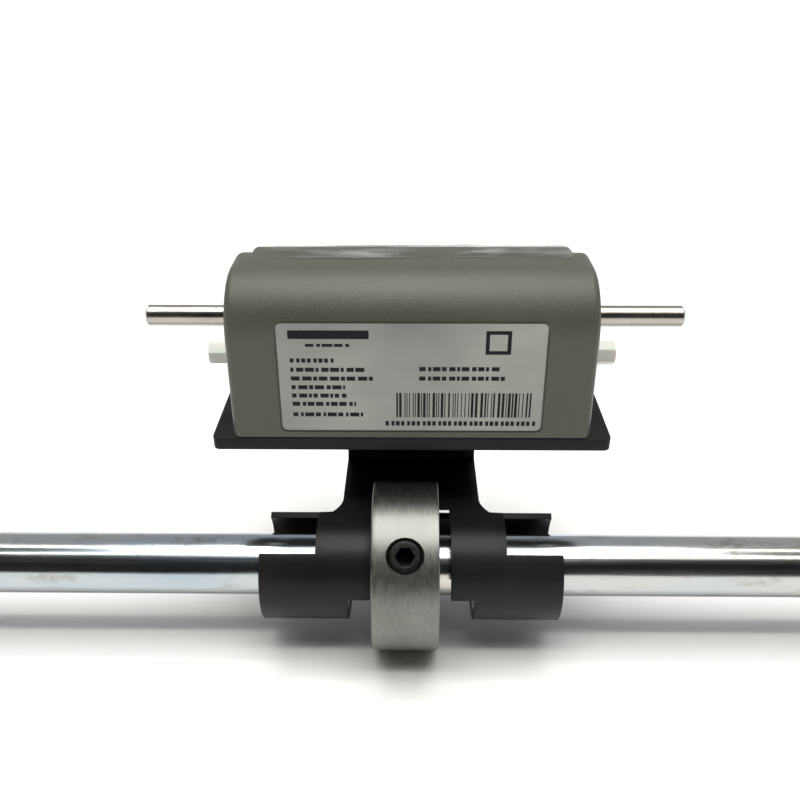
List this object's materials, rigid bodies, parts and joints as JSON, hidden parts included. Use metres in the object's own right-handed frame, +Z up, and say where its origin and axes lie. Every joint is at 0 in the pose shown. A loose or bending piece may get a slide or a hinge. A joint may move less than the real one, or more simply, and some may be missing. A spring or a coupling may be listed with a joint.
{
  "type": "length-measuring counter",
  "caption": "Geared length counter with a through drive shaft, on a pressed-steel bracket that swivels on a plated rod beside a set collar.",
  "frame": {"origin": "on the axis of the mounting rod, midway along the bracket and the rod", "axes": "+X along the rod, +Y from the label towards the reading window, +Z up"},
  "size_m": [0.305, 0.0876, 0.119],
  "materials": {
    "zinc_rod": "bright zinc plate with a faint blue tint and fine draw lines",
    "turned_aluminium": "turned, fine circular tool marks",
    "black_oxide": "black oxide, satin",
    "black_paint": "satin black powder coat on steel",
    "grey_moulding": "moulded grey with a fine grain",
    "white_nylon": "slightly translucent natural nylon",
    "stainless": "ground stainless steel",
    "silver_foil": "satin silver foil with black print bars",
    "clear_lens": "clear polished acrylic",
    "clear_film": "thin wrinkled clear film",
    "bright_zinc": "bright zinc-plated sheet and screws",
    "brass": "machined brass",
    "black_moulding": "black moulded wheels with white figures",
    "acetal": "natural acetal"
  },
  "bodies": {
    "rod": {"mounting_rod": "zinc_rod"},
    "collar": {"set_collar": "turned_aluminium", "collar_set_screw": "black_oxide"},
    "counter": {"swivel_bracket": "black_paint", "bracket_bush_left": "white_nylon", "bracket_bush_right": "white_nylon", "bracket_screw_1": "bright_zinc", "bracket_screw_2": "bright_zinc", "bracket_screw_3": "bright_zinc", "bracket_screw_4": "bright_zinc", "bracket_nut_1": "bright_zinc", "bracket_nut_2": "bright_zinc", "bracket_nut_3": "bright_zinc", "bracket_nut_4": "bright_zinc", "base_plate": "black_paint", "housing": "grey_moulding", "window_lens": "clear_lens", "window_film": "clear_film", "rating_label": "silver_foil", "housing_screw_1": "bright_zinc", "housing_screw_2": "bright_zinc", "housing_screw_3": "bright_zinc", "housing_screw_4": "bright_zinc", "frame_screw_1": "bright_zinc", "frame_screw_2": "bright_zinc", "frame_screw_3": "bright_zinc", "frame_screw_4": "bright_zinc", "side_plate_left": "bright_zinc", "side_plate_right": "bright_zinc", "tie_bar_1": "bright_zinc", "tie_bar_2": "bright_zinc", "pinion_shaft": "stainless", "shaft_bush_left": "brass", "shaft_bush_right": "brass"},
    "drive": {"drive_shaft": "stainless", "drive_gear": "brass", "retaining_ring_left": "black_oxide", "retaining_ring_right": "black_oxide"},
    "driver": {"driver_gear": "brass", "carry_disc": "acetal"},
    "reset": {"reset_spindle": "stainless", "reset_gear": "acetal", "reset_hex_left": "white_nylon", "reset_hex_right": "white_nylon"},
    "wheel_shaft": {"number_wheel_shaft": "stainless", "shaft_reset_gear": "acetal"},
    "wheel_1": {"number_wheel_1": "black_moulding"},
    "pinion_1": {"transfer_pinion_1": "acetal"},
    "wheel_2": {"number_wheel_2": "black_moulding"},
    "pinion_2": {"transfer_pinion_2": "acetal"},
    "wheel_3": {"number_wheel_3": "black_moulding"},
    "pinion_3": {"transfer_pinion_3": "acetal"},
    "wheel_4": {"number_wheel_4": "black_moulding"},
    "pinion_4": {"transfer_pinion_4": "acetal"},
    "wheel_5": {"number_wheel_5": "black_moulding"},
    "pinion_5": {"transfer_pinion_5": "acetal"},
    "wheel_6": {"number_wheel_6": "black_moulding"},
    "pinion_6": {"transfer_pinion_6": "acetal"}
  },
  "joints": [
    {"name": "collar_slide", "type": "slide", "parent": "rod", "child": "collar", "axis": [1, 0, 0], "range_m": [-0.1, 0.1]},
    {"name": "bracket_swing", "type": "hinge", "parent": "collar", "child": "counter", "pos_m": [0, 0, 0], "axis": [1, 0, 0], "continuous": true},
    {"name": "drive_spin", "type": "hinge", "parent": "counter", "child": "drive", "pos_m": [0, 0.025, 0.0742], "axis": [1, 0, 0], "continuous": true},
    {"name": "driver_spin", "type": "hinge", "parent": "counter", "child": "driver", "pos_m": [0, 0.04128, 0.06403], "axis": [1, 0, 0], "continuous": true},
    {"name": "reset_turn", "type": "hinge", "parent": "counter", "child": "reset", "pos_m": [0, 0.05148, 0.04919], "axis": [1, 0, 0], "continuous": true},
    {"name": "wheel_shaft_turn", "type": "hinge", "parent": "counter", "child": "wheel_shaft", "pos_m": [0, 0.04128, 0.06403], "axis": [1, 0, 0], "continuous": true},
    {"name": "wheel_1_spin", "type": "hinge", "parent": "counter", "child": "wheel_1", "pos_m": [0, 0.04128, 0.06403], "axis": [1, 0, 0], "continuous": true},
    {"name": "pinion_1_spin", "type": "hinge", "parent": "counter", "child": "pinion_1", "pos_m": [0, 0.02796, 0.05781], "axis": [1, 0, 0], "continuous": true},
    {"name": "wheel_2_spin", "type": "hinge", "parent": "counter", "child": "wheel_2", "pos_m": [0, 0.04128, 0.06403], "axis": [1, 0, 0], "continuous": true},
    {"name": "pinion_2_spin", "type": "hinge", "parent": "counter", "child": "pinion_2", "pos_m": [0, 0.02796, 0.05781], "axis": [1, 0, 0], "continuous": true},
    {"name": "wheel_3_spin", "type": "hinge", "parent": "counter", "child": "wheel_3", "pos_m": [0, 0.04128, 0.06403], "axis": [1, 0, 0], "continuous": true},
    {"name": "pinion_3_spin", "type": "hinge", "parent": "counter", "child": "pinion_3", "pos_m": [0, 0.02796, 0.05781], "axis": [1, 0, 0], "continuous": true},
    {"name": "wheel_4_spin", "type": "hinge", "parent": "counter", "child": "wheel_4", "pos_m": [0, 0.04128, 0.06403], "axis": [1, 0, 0], "continuous": true},
    {"name": "pinion_4_spin", "type": "hinge", "parent": "counter", "child": "pinion_4", "pos_m": [0, 0.02796, 0.05781], "axis": [1, 0, 0], "continuous": true},
    {"name": "wheel_5_spin", "type": "hinge", "parent": "counter", "child": "wheel_5", "pos_m": [0, 0.04128, 0.06403], "axis": [1, 0, 0], "continuous": true},
    {"name": "pinion_5_spin", "type": "hinge", "parent": "counter", "child": "pinion_5", "pos_m": [0, 0.02796, 0.05781], "axis": [1, 0, 0], "continuous": true},
    {"name": "wheel_6_spin", "type": "hinge", "parent": "counter", "child": "wheel_6", "pos_m": [0, 0.04128, 0.06403], "axis": [1, 0, 0], "continuous": true},
    {"name": "pinion_6_spin", "type": "hinge", "parent": "counter", "child": "pinion_6", "pos_m": [0, 0.02796, 0.05781], "axis": [1, 0, 0], "continuous": true}
  ],
  "couplings": [
    {"joint": "driver_spin", "follows": "drive_spin", "ratio": -0.33333},
    {"joint": "wheel_shaft_turn", "follows": "reset_turn", "ratio": -0.33333},
    {"joint": "wheel_1_spin", "follows": "drive_spin", "ratio": -0.033333},
    {"joint": "pinion_1_spin", "follows": "drive_spin", "ratio": 0.083333},
    {"joint": "wheel_2_spin", "follows": "drive_spin", "ratio": -0.0033333},
    {"joint": "pinion_2_spin", "follows": "drive_spin", "ratio": 0.0083333},
    {"joint": "wheel_3_spin", "follows": "drive_spin", "ratio": -0.00033333},
    {"joint": "pinion_3_spin", "follows": "drive_spin", "ratio": 0.00083333},
    {"joint": "wheel_4_spin", "follows": "drive_spin", "ratio": -0.000033333},
    {"joint": "pinion_4_spin", "follows": "drive_spin", "ratio": 0.000083333},
    {"joint": "wheel_5_spin", "follows": "drive_spin", "ratio": -0.0000033333},
    {"joint": "pinion_5_spin", "follows": "drive_spin", "ratio": 0.0000083333},
    {"joint": "wheel_6_spin", "follows": "drive_spin", "ratio": -0.00000033333},
    {"joint": "pinion_6_spin", "follows": "drive_spin", "ratio": 0.00000083333}
  ]
}
